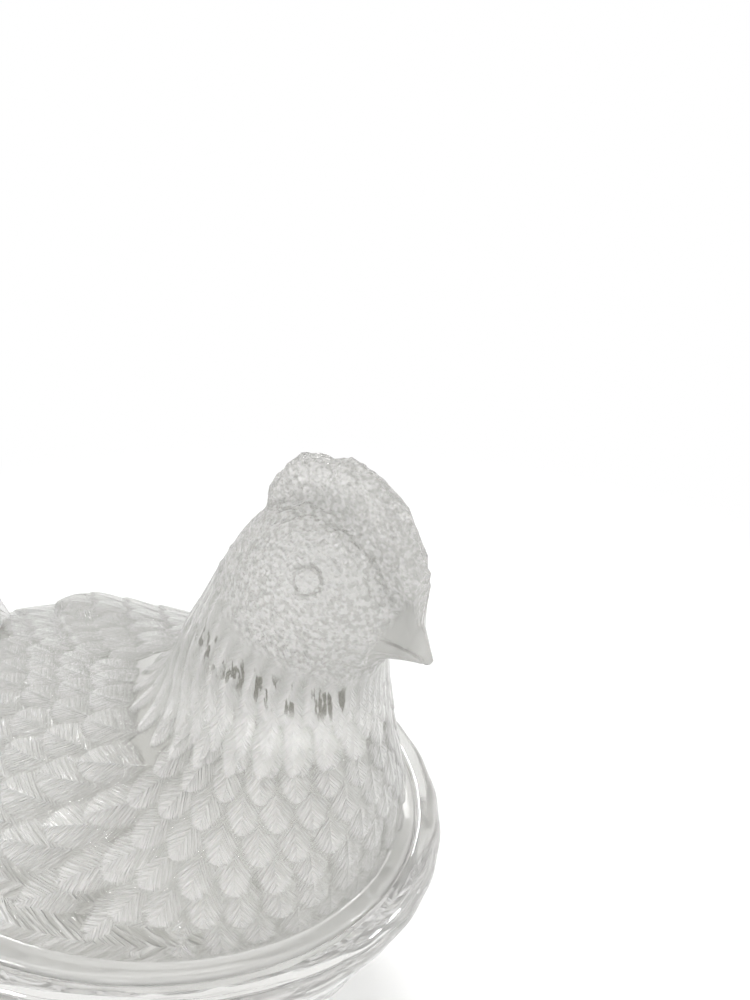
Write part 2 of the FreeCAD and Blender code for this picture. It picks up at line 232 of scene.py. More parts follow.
def dish_shell(sizes):
    """Closed shell of the dish: floor, hollow, ledge, seat, rounded rim, wall, foot, recess."""
    def inset(pair, by):
        return pair[0] - by, pair[1] - by

    def at(pair, out, z):
        return pair[0] + out, pair[1] + out, z

    def flat_rows(pair, z):
        return np.array([(pair[0] * share, pair[1] * share, z) for share in FLAT_SHARES])

    rim = (DISH_LONG, DISH_WIDE)
    seat = inset(rim, sizes.rim_wide)
    mouth = inset(seat, sizes.ledge_wide)
    step = sizes.rim_wide - sizes.rim_lip
    base = inset(rim, step)
    foot = (sizes.foot_long / 2, sizes.foot_wide / 2)
    inner = inset(foot, sizes.wall)
    ring, soft, recess = sizes.foot_ring, sizes.edge_round, sizes.foot_recess
    top = RIM_PLANE
    ledge, band_low = top - sizes.flange_thick, top - sizes.rim_high
    floor = recess + sizes.floor_thick

    hollow = wall_profile(at(inner, 0, floor), at(mouth, 0, ledge), 44)
    hollow = hollow[hollow[:, 2] > floor + 3 * MM]
    corner = turned_edge(at(inner, -4 * MM, floor), hollow[0], at(inner, 0.3 * MM, floor), 7)
    rim_rows = np.array([at(base, step * out, band_low + sizes.rim_high * high) for high, out in RIM_SHARES])
    rim_rows = smooth_rows(rim_rows, np.linspace(0, len(rim_rows) - 1, 30))
    outside = wall_profile(at(foot, 0, sizes.foot_high), at(base, 0, band_low), 110)[::-1]
    outside = outside[outside[:, 2] < rim_rows[-1, 2] - 0.3 * MM]
    inside = [
        flat_rows(inner, floor), corner, hollow[1:-2],
        turned_edge(at(mouth, 0, ledge - soft), at(mouth, soft, ledge), at(mouth, 0, ledge), 4),
        [at(seat, -soft, ledge)],
        turned_edge(at(seat, -soft * 0.5, ledge), at(seat, 0, ledge + soft * 0.5), at(seat, 0, ledge), 3),
        turned_edge(at(seat, 0, top - soft), at(seat, soft, top - 0.1 * MM), at(seat, 0, top), 5),
    ]
    below = [
        [at(foot, 0, sizes.foot_high * 0.55)],
        turned_edge(at(foot, 0, soft), at(foot, -soft, 0), at(foot, 0, 0), 5),
        turned_edge(at(foot, -ring + soft, 0), at(foot, -ring, soft), at(foot, -ring, 0), 4),
        turned_edge(at(foot, -ring, recess - soft * 0.5), at(foot, -ring - soft * 0.5, recess),
                    at(foot, -ring, recess), 3),
        flat_rows(inset(foot, ring), recess)[::-1],
    ]
    grid = level_grid(np.vstack([*inside, rim_rows, outside, *below]), oval(*rim, DISH_COLUMNS))

    rim_first = sum(len(rows) for rows in inside)
    wall_first = rim_first + len(rim_rows)
    rim_part, wall_part = slice(rim_first, wall_first), slice(wall_first, wall_first + len(outside))
    angle = np.arctan2(grid[..., 1] / DISH_WIDE, grid[..., 0] / DISH_LONG)
    weave_low, weave_high = sizes.foot_high + 2 * MM, band_low - 11 * MM
    relief = np.zeros(grid.shape[:2])
    share = (grid[wall_part, :, 2] - weave_low) / (weave_high - weave_low)
    relief[wall_part] = basket_relief(angle[wall_part], share) * sizes.weave_depth
    flutes = FLUTE_DEPTH * (0.5 - 0.5 * np.cos(angle[rim_part] * FLUTES))
    relief[rim_part] = -flutes * ramp(grid[rim_part, :, 2], band_low, band_low + 3 * MM)
    grid = grid + grid_normals(grid, 3, (0, 0, 1)) * relief[..., None]
    shell = Shell()
    shell.add((0, 0, floor))
    shell.add(grid)
    shell.add((0, 0, recess))
    return shell


# Hen

# Rings of the body: rear reach, rear height, front reach, front height, half width
BODY_SHARES = (
    (1.0, -0.04, 0.96, -0.04, 1.0), (0.99, 0.07, 0.972, 0.065, 0.995), (0.96, 0.15, 0.985, 0.17, 0.945),
    (0.89, 0.25, 0.995, 0.28, 0.87), (0.77, 0.345, 1.0, 0.39, 0.78), (0.59, 0.42, 1.0, 0.5, 0.685),
    (0.37, 0.49, 0.995, 0.61, 0.6), (0.13, 0.565, 0.987, 0.715, 0.53), (-0.1, 0.655, 0.98, 0.815, 0.47),
    (-0.275, 0.785, 0.975, 0.9, 0.42), (-0.385, 0.945, 0.971, 0.99, 0.38),
)
# Rings of the neck and head: the same, heights as shares of the neck above the shoulder
HEAD_SHARES = (
    (0.43, 0.175, 0.972, 0.09, 1.22), (0.494, 0.375, 0.977, 0.165, 1.13), (0.552, 0.565, 0.987, 0.225, 1.07),
    (0.615, 0.75, 0.997, 0.265, 1.02), (0.692, 0.905, 1.004, 0.283, 0.97), (0.79, 1.0, 1.009, 0.293, 0.9),
    (0.89, 0.98, 1.013, 0.3, 0.81), (0.98, 0.862, 1.018, 0.305, 0.68), (1.042, 0.682, 1.025, 0.31, 0.5),
)
# Rings of the bill: share of its length, of its arch and of its narrowing
BILL_SHARES = ((0.36, 1.0, 0.42), (0.7, 0.8, 0.74), (1.0, 0.0, 1.0))
# Comb: angle about its pivot, share of its reach
COMB_SHARES = (
    (137.0, 0.70), (134.5, 0.80), (131.0, 0.855), (128.0, 0.885), (125.0, 0.91), (122.0, 0.925), (119.5, 0.93),
    (117.5, 0.935), (114.5, 0.965), (110.0, 0.99), (105.0, 1.0), (101.0, 0.99), (97.5, 0.965), (95.0, 0.957),
    (91.0, 0.975), (85.0, 0.97), (78.0, 0.93), (69.0, 0.883), (60.0, 0.82), (50.0, 0.735), (38.0, 0.66),
    (25.0, 0.575), (14.0, 0.49), (5.0, 0.42),
)
# Tail rings: share of its height, share of its lean, share of its length, share of its width
TAIL_SHARES = (
    (-0.02, 0.0, 0.92, 0.86), (0.13, 0.1, 0.98, 0.9), (0.32, 0.3, 0.94, 0.78), (0.56, 0.58, 0.9, 0.6),
    (0.8, 0.86, 0.84, 0.44), (0.93, 0.97, 0.7, 0.31), (1.0, 1.0, 0.42, 0.15),
)
# The tail ring that reaches furthest back, and the turns of the tail's feathers in degrees
TAIL_REAR_RING = 4
TAIL_TURNS = np.arange(63, 152, 11)
# Places, counted in rings, at which the body and the hollow under it start
BODY_START, HOLLOW_START = 0.37, 0.35
# Share of a half ring's points that the crown gets, and the rings over which this comes in
CROWN_SHARE = 0.34
CROWN_RINGS = (8.0, 13.0)
# Distance from the rear of a ring that the crown's points cover
CROWN_DEPTH = 2.5 * MM
# Middle of a wing's swelling: shares of the front reach, the half width and the shoulder's height
WING_PLACE = (-0.06, 0.58, 0.25)


def hen_rows(sizes):
    """Ring table in metres: rear x and z, front x and z, half width."""
    front, back, wide = sizes.body_front, sizes.body_back, sizes.body_half_wide
    up = sizes.shoulder_high
    shoulder = RIM_PLANE + up
    neck = sizes.crown_high - up
    body = [(-back * r, RIM_PLANE + up * rz, front * f, RIM_PLANE + up * fz, wide * w)
            for r, rz, f, fz, w in BODY_SHARES]
    head = [(front * r, shoulder + neck * rz, front * f, shoulder + neck * fz, sizes.head_half_wide * w)
            for r, rz, f, fz, w in HEAD_SHARES]
    root = head[-1]
    tip_x, tip_z, thick = root[2] + sizes.bill_long, root[3] + 0.6 * MM, sizes.bill_tip
    bill = [(root[0] + (tip_x - root[0]) * along,
             root[1] + (tip_z + thick / 2 - root[1]) * along + sizes.bill_arch * arch,
             root[2] + (tip_x - thick - root[2]) * along,
             root[3] + (tip_z - thick / 2 - root[3]) * along,
             root[4] + (thick / 2 - root[4]) * fat) for along, arch, fat in BILL_SHARES]
    return np.array(body + head + bill)


def ring_track(rows):
    """Function of places that gives four marks of each ring: rear, side and twice the quarter."""
    def track(places):
        rear_x, rear_z, front_x, front_z, half_wide = smooth_rows(rows, places).T
        flat = 0 * rear_x
        rear, front = np.stack([rear_x, flat, rear_z], -1), np.stack([front_x, flat, front_z], -1)
        wide = np.stack([flat, half_wide, flat], -1)
        quarter = rear * 0.75 + front * 0.25 + wide * 0.866
        return np.stack([rear, (rear + front) / 2 + wide, quarter, quarter], 1)
    return track


def comb_tops(rows, sizes):
    """How far past its rear point each ring runs before it leaves the comb's outline.
    The outline is a reach per angle about a pivot in the head."""
    neck = sizes.crown_high - sizes.shoulder_high
    pivot = np.array([sizes.body_front * 0.9, RIM_PLANE + sizes.shoulder_high + neck * 0.46])
    reach = RIM_PLANE + sizes.crown_high + sizes.comb_rise - pivot[1]
    table = np.array(COMB_SHARES)[::-1]
    rear, fore = rows[:, 0:2], rows[:, 2:4]
    run = np.linspace(0, 22 * MM, 441)
    off = rear[:, None] + unit(rear - fore)[:, None] * run[:, None] - pivot
    angle = np.degrees(np.arctan2(off[..., 1], off[..., 0]))
    edge = np.interp(angle, table[:, 0], table[:, 1], left=0, right=0) * reach
    saw = 1 + 0.012 * np.abs(np.sin(np.radians(angle) * 13)) * (angle < 92)
    inside = np.hypot(off[..., 0], off[..., 1]) < edge * saw
    last = np.where(inside.any(1), inside.shape[1] - 1 - np.argmax(inside[:, ::-1], axis=1), 0)
    return run[last]


def ring_grid(rows, columns, zone=0.0, comb=0.0, half_thick=0.0):
    """Rings as points: half width is an ellipse over the ring's length, joined smoothly with a
    round-topped blade for the comb, and points are spaced evenly by arc in two zones."""
    zone, comb = np.broadcast_to(zone, len(rows)), np.broadcast_to(comb, len(rows))
    half = columns // 2
    crown_count = int(half * CROWN_SHARE)
    fore, rear = rows[:, 2:4], rows[:, 0:2]
    length = np.linalg.norm(rear - fore, axis=1)
    way = unit(rear - fore)
    swing = np.cos(np.linspace(0, math.pi, 900))
    grid = np.empty((len(rows), columns, 3))
    for number in range(len(rows)):
        full, rise = length[number], comb[number]
        spot = np.concatenate([full / 2 + full / 2 * swing, full + rise * (0.5 + 0.5 * swing)])
        spot = np.unique(spot)[::-1]
        lens = np.sqrt(np.clip(1 - ((spot - full / 2) / (full / 2)) ** 2, 0, 1)) * rows[number, 4]
        thick = half_thick * ramp(rise, 0, 2.5 * MM) * (1 - 0.25 * np.clip((spot - full) / (9 * MM), 0, 1))
        tip = np.clip((spot - (full + rise - thick)) / np.maximum(thick, 1e-9), 0, 1)
        blade = thick * np.sqrt(1 - tip ** 2) * (spot > full / 2)
        across = (lens ** 4 + blade ** 4) ** 0.25
        run = run_of(np.hypot(np.diff(spot), np.diff(across)))
        corner = np.interp(CROWN_DEPTH - full, -spot, run)
        even = run[-1] * CROWN_SHARE
        corner = even + (corner - even) * zone[number]
        marks = np.concatenate([np.linspace(0, corner, crown_count + 1)[:-1],
                                np.linspace(corner, run[-1], half - crown_count + 1)])
        wide = np.interp(marks, run, across)
        wide[0] = wide[-1] = 0
        flat = fore[number] + way[number] * np.interp(marks, run, spot)[:, None]
        grid[number, :half + 1] = np.column_stack([flat[:, 0], wide, flat[:, 1]])
        grid[number, half + 1:] = np.column_stack([flat[:, 0], -wide, flat[:, 1]])[half - 1:0:-1]
    return grid


def wing_swell(points, normals, sizes):
    """Outward move that takes the body out to a rolled ellipsoid on each flank: the exit of the
    line along the normal from the ellipsoid, softened round its edge."""
    rise = np.full(points.shape[:-1], -1.0)
    half = np.array([sizes.wing_half_long, sizes.wing_half_deep, sizes.wing_half_thick])
    middle, out, up = np.array(WING_PLACE) * (sizes.body_front, sizes.body_half_wide, sizes.shoulder_high)
    for side in (1, -1):
        centre = np.array([middle, side * out, RIM_PLANE + up])
        roll = sizes.wing_roll * side
        turn = np.array([[1, 0, 0], [0, math.cos(roll), -math.sin(roll)], [0, math.sin(roll), math.cos(roll)]])
        at = (points - centre) @ turn.T / half
        way = normals @ turn.T / half
        a = (way ** 2).sum(-1)
        b = (at * way).sum(-1)
        room = b * b - a * ((at ** 2).sum(-1) - 1)
        exit_at = np.where(room > 0, (-b + np.sqrt(np.maximum(room, 0))) / a, -1)
        rise = np.maximum(rise, np.where(exit_at < 14 * MM, exit_at, -1))
    soft = 1.2 * MM
    ends = 1 - ramp(np.abs(points[..., 0] - middle), 0.66 * half[0], 0.98 * half[0])
    return 0.5 * (rise + np.sqrt(rise ** 2 + soft ** 2)) * (rise > -6 * MM) * ends


# Feathers

# Wing rows: turn up from level about the long axis in degrees, place of the first and the last
# as shares of the front reach, number, length and width in mm, share of the full relief
WING_ROWS = (
    (84.0, 0.08, -0.40, 4, 15.0, 9.5, 0.6), (75.0, 0.16, -0.48, 5, 16.0, 10.0, 0.7),
    (66.0, 0.24, -0.56, 6, 17.0, 10.5, 0.85), (57.0, 0.32, -0.64, 7, 18.0, 11.0, 0.9),
    (48.0, 0.40, -0.56, 7, 19.0, 11.5, 1.0), (39.5, 0.48, -0.64, 8, 20.0, 12.0, 1.05),
    (31.0, 0.56, -0.72, 9, 20.5, 12.0, 1.1), (22.5, 0.48, -0.64, 8, 21.0, 12.0, 1.1),
    (14.0, 0.56, -0.72, 9, 20.0, 11.5, 1.0),
)
# Breast rows: height over the rim, length and width in mm, share of the full relief
BREAST_ROWS = (
    (41, 9.5, 6.4, 0.7), (35.5, 10, 7.0, 0.75), (29.8, 10.5, 7.6, 0.8), (24, 10.5, 8.0, 0.8),
    (18.2, 10.5, 8.2, 0.8), (12.4, 10.5, 8.4, 0.8), (6.8, 10, 8.6, 0.75), (1.8, 9, 8.6, 0.6),
)
# Hackle rows: ring, length and width in mm, share of the full relief, roundness, barbs
HACKLE_ROWS = (
    (12.55, 15, 4.2, 0.5, 1.9, 0.3), (11.8, 16, 4.6, 0.6, 1.9, 0.35), (11.05, 16, 5.0, 0.65, 2.0, 0.4),
    (10.3, 15, 5.6, 0.7, 2.1, 0.4), (9.55, 14, 6.6, 0.75, 2.5, 0.4),
)
# Long feathers round the foot: start and end from the breast, middle height and width in mm,
# share of the full relief, barb pitch in mm, barbs
PRIMARIES = (
    (58, 122, 12.5, 9.5, 1.5, 1.6, 1.4), (104, 168, 13.0, 9.5, 1.4, 1.6, 1.4),
    (32, 100, 4.8, 9.4, 1.7, 2.5, 1.7), (88, 164, 5.2, 9.4, 1.6, 2.5, 1.7),
)
# Roundness of the tip, barb pitch and strength of the barbs
WING_BARBS = (3.2, 0.95 * MM, 1.0)
BREAST_BARBS = (3.6, 0.8 * MM, 0.9)
TAIL_BARBS = (5.0, 1.1 * MM, 1.2)
HACKLE_PITCH = 0.8 * MM
PRIMARY_ROUND = 3.4
# Relief below which a point counts as bare
BARE = 1e-5
# Part of the breast that carries scales, and the point on the long axis that it curves round
BREAST_FROM, BREAST_CENTRE = 42 * MM, 30 * MM
# Widths of a scale and of a hackle that its neighbour leaves free
SCALE_FREE, HACKLE_FREE = 0.86, 0.84


def leaf(along, across, width, rise, tip):
    """Height of one feather: a leaf outline with a soft edge, rising from root to tip, arched
    across, with a spine that fades out towards the tip. along is a share of its length."""
    share = np.clip(along, 0, 1)
    outline = width / 2 * np.clip(share / 0.35, 0, 1) ** 0.5 * np.clip(1 - share ** tip, 0, 1) ** 0.5
    edge = 0.9 * MM
    inside = ramp(outline - np.abs(across), -0.1 * edge, edge) * (along > 0) * (along < 1)
    dome = 1 - 0.3 * np.clip(np.abs(across) / (width / 2), 0, 1) ** 2
    spine = 0.2 * np.exp(-(across / (0.5 * MM)) ** 2) * (1 - share)
    return rise * (0.18 + 0.82 * share ** 1.1) * (dome + spine) * inside


class Plumage:
    """Feathers laid on a grid of surface points. The look of a feather is its length, width,
    relief, roundness of the tip, barb pitch and strength of the barbs."""

    def __init__(self, points, normals):
        self.points, self.normals = points.reshape(-1, 3), normals.reshape(-1, 3)
        self.roots, self.ways, self.sides, self.looks = [], [], [], []
        self.curved = {}

    def lay(self, spot, way, *look):
        """One feather whose middle is near a surface point. way is made level with the surface."""
        near = np.argmin(((self.points - spot) ** 2).sum(-1))
        normal = self.normals[near]
        way = unit(way - normal * (way @ normal))
        self.roots.append(self.points[near] - way * look[0] * 0.5)
        self.ways.append(way)
        self.sides.append(np.cross(normal, way))
        self.looks.append(look)

    def lay_curved(self, along, across, *look):
        """One long feather bent round the body: its own coordinates are given for every point."""
        self.curved[len(self.looks)] = (along, across)
        for row in (self.roots, self.ways, self.sides):
            row.append(np.zeros(3))
        self.looks.append(look)

    def relief(self, fade):
        """Height over the surface, the greatest of all feathers, times a fade per point, and the
        feather that is on top, -1 for none."""
        height = np.zeros(len(self.points))
        owner = np.full(len(self.points), -1)
        for number, (length, width, rise, tip, _, _) in enumerate(self.looks):
            if number in self.curved:
                along, across = self.curved[number]
                near = np.flatnonzero((along > 0) & (along < length) & (np.abs(across) < width))
                along, across = along[near] / length, across[near]
                facing = 1.0
            else:
                off = self.points - self.roots[number]
                near = np.flatnonzero((off ** 2).sum(-1) < (length * 1.15) ** 2)
                along = off[near] @ self.ways[number] / length
                across = off[near] @ self.sides[number]
                facing = self.normals[near] @ np.cross(self.ways[number], self.sides[number]) > 0.3
            here = leaf(along, across, width, rise, tip) * facing
            better = here > height[near]
            height[near[better]] = here[better]
            owner[near[better]] = number
        height *= fade
        return height, np.where(height > BARE, owner, -1)

    def depth(self, height, owner):
        """How far each point lies below most of its feather's full relief, as a share of it."""
        full = np.array(self.looks)[np.maximum(owner, 0), 2]
        return 0.8 - np.where(owner >= 0, height, 0) / full


def mark_points(mesh, name, values, first):
    """A number for each vertex from a first one on, nought for the others, as a named attribute."""
    everywhere = np.zeros(len(mesh.vertices), np.float32)
    everywhere[first:first + len(values)] = values
    mesh.attributes.new(name, "FLOAT", "POINT").data.foreach_set("value", everywhere)


def mark_feathers(mesh, coords, plumage, first, height, owner):
    """UV map on the top feather of each face, across and along it in barb pitches, and the
    strength of its barbs as a corner attribute. The face goes to the feather of its highest corner."""
    corner = np.empty(len(mesh.loops), np.int32)
    starts, totals = np.empty((2, len(mesh.polygons)), np.int32)
    mesh.loops.foreach_get("vertex_index", corner)
    mesh.polygons.foreach_get("loop_start", starts)
    mesh.polygons.foreach_get("loop_total", totals)
    face = np.repeat(np.arange(len(starts)), totals)

    part = slice(first, first + len(height))
    level, top = np.zeros(len(coords)), np.full(len(coords), -1)
    level[part], top[part] = np.where(owner >= 0, height, 0), owner
    level = level[corner]
    highest = level >= np.maximum.reduceat(level, starts)[face] - 1e-12
    leader = np.where(highest, np.arange(len(corner)), len(corner))
    chosen = top[corner[np.minimum.reduceat(leader, starts)]][face]

    own = np.maximum(chosen, 0)
    off = coords[corner] - np.array(plumage.roots)[own]
    along = (off * np.array(plumage.ways)[own]).sum(-1)
    across = (off * np.array(plumage.sides)[own]).sum(-1)
    for number, (bent_along, bent_across) in plumage.curved.items():
        mine = np.flatnonzero(chosen == number)
        spot = np.clip(corner[mine] - first, 0, len(bent_along) - 1)
        along[mine], across[mine] = bent_along[spot], bent_across[spot]
    pitch, barbs = np.array(plumage.looks)[own, 4:6].T
    uv = np.column_stack([across / pitch, along / pitch]) * UV_PER_PITCH + 0.5
    mesh.uv_layers.new(name="feather").data.foreach_set("uv", uv.astype(np.float32).ravel())
    veins = np.where(chosen >= 0, barbs, 0).astype(np.float32)
    mesh.attributes.new("veins", "FLOAT", "CORNER").data.foreach_set("value", veins)


def lay_wing_feathers(plumage, grid, side, front, relief):
    """Wing coverts: rows at equal turns about the long axis, feathers pointing back, and smaller
    and steeper towards the breast."""
    spots = grid.reshape(-1, 3)
    turn = np.degrees(np.arctan2(spots[:, 2] - RIM_PLANE, side * spots[:, 1]))
    flank = side * spots[:, 1] > -1 * MM
    for angle, first, last, count, length, width, lift in WING_ROWS:
        for x in np.linspace(first, last, count) * front:
            miss = np.where(flank, (spots[:, 0] - x) ** 2 * 9e4 + (turn - angle) ** 2 / 9, 1e9)
            fore = ramp(x, 18 * MM, 44 * MM)
            size = (1 - 0.26 * fore) * MM
            way = np.array([-1.0, -side * 0.10, -0.10 - 0.0045 * (76 - angle) - 0.75 * fore])
            plumage.lay(spots[np.argmin(miss)], way, length * size, width * size, relief * lift, *WING_BARBS)


def lay_breast_feathers(plumage, grid, relief):
    """Breast scales: level rows round the front, feathers pointing down."""
    spots = grid.reshape(-1, 3)
    high = spots[:, 2] - RIM_PLANE
    for number, (level, length, width, lift) in enumerate(BREAST_ROWS):
        near = np.flatnonzero((np.abs(high - level * MM) < 0.8 * MM) & (spots[:, 0] > BREAST_FROM))
        turn = np.arctan2(spots[near, 1], spots[near, 0] - BREAST_CENTRE)
        bins = np.array_split(spots[near[np.argsort(turn)]], 90)
        line = np.array([part.mean(axis=0) for part in bins if len(part)])
        run = run_along(line)
        count = int(round(run[-1] / (width * SCALE_FREE * MM)))
        for step in range(count + 1):
            place = (step + 0.5 * (number % 2)) / count * run[-1]
            spot = np.array([np.interp(place, run, line[:, axis]) for axis in range(3)])
            lean = 1 - ramp(spot[0], 44 * MM, 64 * MM)
            way = np.array([-0.7 * lean, 0, -1.0])
            plumage.lay(spot, way, length * MM, width * MM, relief * lift, *BREAST_BARBS)


def lay_hackles(plumage, guide, places, relief):
    """Hackles of the neck: rows of long pointed feathers down the ring columns."""
    columns = guide.shape[1]
    for number, (place, length, width, lift, tip, barbs) in enumerate(HACKLE_ROWS):
        row = int(np.argmin(np.abs(places - place)))
        line = guide[row]
        run = run_along(np.concatenate([line, line[:1]]))
        count = int(round(run[-1] / (width * HACKLE_FREE * MM) / 2)) * 2
        for step in range(count):
            column = int(np.searchsorted(run, (step + 0.5 * (number % 2)) / count * run[-1])) % columns
            way = unit(guide[max(row - 4, 0), column] - line[column]) + np.array([0, 0, -0.25])
            plumage.lay(line[column], way, length * MM, width * MM, relief * lift, tip, HACKLE_PITCH, barbs)


def lay_primaries(plumage, grid, relief):
    """Long feathers round the foot of the body: along is the arc from the breast backwards,
    across is the way up the surface."""
    rows, columns = grid.shape[:2]
    steps = np.linalg.norm(np.roll(grid, -1, 1) - grid, axis=-1)
    arc = np.concatenate([np.zeros((rows, 1)), np.cumsum(steps, axis=1)[:, :-1]], axis=1)
    arc = np.abs(arc - arc[:, columns // 2:columns // 2 + 1])
    climb = np.linalg.norm(np.diff(grid, axis=0), axis=-1)
    up = np.concatenate([np.zeros((1, columns)), np.cumsum(climb, axis=0)])
    left = grid[..., 1] > 0
    rest = np.zeros(len(plumage.points) - rows * columns)
    for side in (left, ~left):
        for start, end, middle, width, lift, pitch, barbs in PRIMARIES:
            along = np.concatenate([np.where(side, arc - start * MM, -1.0).ravel(), rest - 1])
            across = np.concatenate([(up - middle * MM).ravel(), rest])
            plumage.lay_curved(along, across, (end - start) * MM, width * MM, relief * lift,
                               PRIMARY_ROUND, pitch * MM, barbs)


# Face

# Painted dark drops in the collar's notches: height at which their sloping line meets the middle plane, and its
# slope
COLLAR_SLOPE = 0.333
COLLAR_LINE = RIM_PLANE + (60.4 + COLLAR_SLOPE * 43.9) * MM
# Middle of the eye, mirrored for the other side
EYE = np.array([70.3, -12.3, 76.3]) * MM
# Carved rings round the eye: distance from its middle, width, height
EYE_RINGS = ((3.5, 0.5, 0.55), (2.6, 0.4, -0.4))
# Folds of skin round those, fainter under the eye: distance, height
EYE_FOLDS = ((5.0, 0.42), (6.5, 0.34), (8.0, 0.26))
# Height over the rim from which the head is carved
FACE_LOW = 44 * MM


def grain(points, wave, seed):
    """Uneven small bumps: the sum of sines of one wavelength along directions spread by chance."""
    chance = np.random.default_rng(seed)
    total = np.zeros(len(points))
    for _ in range(9):
        way = unit(chance.normal(size=3)) * 2 * math.pi / (wave * chance.uniform(0.8, 1.3))
        total += np.sin(points @ way + chance.uniform(0, 2 * math.pi))
    return total / 3.0


def face_relief(points):
    """Eyes with their rings and folds and the mouth line, as one height."""
    top = points[:, 2] - RIM_PLANE
    x = points[:, 0]
    mirrored = np.column_stack([x, -np.abs(points[:, 1]), top])
    gap = np.linalg.norm(mirrored - EYE, axis=1) / MM
    height = 0.75 * np.sqrt(np.clip(1 - (gap / 2.3) ** 2, 0, 1))
    for ring, wide, lift in EYE_RINGS:
        height += lift * np.exp(-((gap - ring) / wide) ** 2)
    over = ramp(top / MM, 74, 79)
    for ring, lift in EYE_FOLDS:
        height += lift * np.exp(-((gap - ring) / 0.5) ** 2) * (0.35 + 0.65 * over)
    mouth = top / MM - (65.4 - (x / MM - 81.2) * 0.98)
    bill = ramp(x / MM, 80.6, 82.2) * (1 - ramp(x / MM, 86.0, 87.2)) * (top > 55 * MM)
    height -= 0.42 * np.exp(-(mouth / 0.5) ** 2) * bill
    return height * MM


def face_parts(points):
    """Shares of each point that are clear bill, frosted face above the collar, and comb."""
    x, top = points[:, 0], points[:, 2] - RIM_PLANE
    # The bill's root leans forward; its top and the breast under it are left out
    bill = ramp(x - 0.55 * (top - 66 * MM), 80.6 * MM, 81.6 * MM) * (top < 72 * MM) * (top > 56.5 * MM)
    # The frosted face ends at the collar, which falls from 69.6 to 54.3 mm over the rim
    above = top - (66 - 0.45 * np.clip(x / MM - 52, -8, 26)) * MM
    frost = ramp(above, -2.5 * MM, 1.5 * MM) * (1 - bill)
    comb = ramp(top - (82 - 0.9 * np.abs(x / MM - 66) * (x > 66 * MM)) * MM, -1.0 * MM, 1.5 * MM)
    return bill, frost, comb


# Lid

def lid_margin(sizes, foot, ledge):
    """Flange: rounded edge, and level top up to the body's foot."""
    inset = sizes.rim_wide + sizes.lid_clearance
    half = (DISH_LONG - inset, DISH_WIDE - inset)
    soft = 1.3 * MM
    edge = np.vstack([
        turned_edge((-soft, ledge), (0, ledge + soft), (0, ledge), 5),
        turned_edge((0, RIM_PLANE - soft), (-soft, RIM_PLANE), (0, RIM_PLANE), 6),
    ])
    share_x, share_y = oval(*half, len(foot))
    profile = np.column_stack([half[0] + edge[:, 0], half[1] + edge[:, 0], edge[:, 1]])
    rim = level_grid(profile, (-share_x, share_y))
    blend = np.linspace(0, 1, 5)[1:-1, None, None]
    shelf = rim[-1] * (1 - blend) + foot * blend
    shelf[..., 2] = RIM_PLANE
    return np.concatenate([rim, shelf])


def hollow_table(rows, wall):
    """Rings of the hollow: the body's, drawn in and lowered by the wall, most at the shoulder."""
    rows = rows[:len(BODY_SHARES)].copy()
    deep = np.full(len(rows), wall)
    deep[-1] *= 1.6
    away = unit(rows[:, 2:4] - rows[:, 0:2]) * deep[:, None]
    rows[:, 0:2] += away
    rows[:, 2:4] -= away
    rows[:, [1, 3, 4]] -= deep[:, None]
    return smooth_rows(rows, np.linspace(HOLLOW_START, len(rows) - 1, 26))


def hen_shell(sizes):
    """Closed shell of the lid: hollow, flange, body, neck, head, comb and bill. Also gives the
    number of the body's first point, the grids and normals of body and head, and their rings."""
    rows = hen_rows(sizes)
    columns = sizes.columns
    seam = len(BODY_SHARES) - 1
    track = ring_track(rows)
    body_places = even_places(track, BODY_START, seam, sizes.body_rows)
    head_places = even_places(track, seam, len(rows) - 1, sizes.head_rows)[1:]
    body = ring_grid(smooth_rows(rows, body_places), columns, ramp(body_places, *CROWN_RINGS))
    table = smooth_rows(rows, head_places)
    head = ring_grid(table, columns // 2, ramp(head_places, *CROWN_RINGS), comb_tops(table, sizes),
                     sizes.comb_half_thick)

    ledge = RIM_PLANE - sizes.flange_thick + sizes.seat_gap
    margin = lid_margin(sizes, body[0], ledge)
    table = hollow_table(rows, sizes.wall)
    hollow = ring_grid(table, columns // 2)
    hollow[0, :, 2] = ledge
    roof = hollow[-1].mean(axis=0)
    shrink = np.array([0.8, 0.55, 0.3, 0.1])[:, None, None]
    cap = roof + (hollow[-1] - roof) * shrink
    cap[..., 2] += (1 - shrink[..., 0]) * 1.5 * MM
    mouth = ring_grid(table[:1], columns)
    mouth[..., 2] = ledge

    shell = Shell()
    shell.add(roof + np.array([0, 0, 1.6 * MM]))
    shell.add(np.concatenate([cap[::-1], hollow[::-1]]))
    shell.add(mouth + (margin[0] - mouth) * 0.5)
    shell.add(margin)
    first = shell.count
    backwards = (-1, 0, 0)
    normals = grid_normals(body, 0, backwards)
    swell = wing_swell(body, normals, sizes) * ramp(body[..., 2], RIM_PLANE, RIM_PLANE + 5 * MM)
    body = body + normals * swell[..., None]
    normals = grid_normals(body, 0, backwards)
    head_normals = grid_normals(np.concatenate([body[-2:, ::2], head]), 2, backwards)[2:]
    shell.add(body)
    shell.add(head)
    shell.add(head[-1].mean(axis=0) + np.array([0.5 * MM, 0, 0]))
    normals = np.concatenate([normals.reshape(-1, 3), head_normals.reshape(-1, 3)])
    return shell, first, body, head, normals, np.concatenate([body_places, head_places])


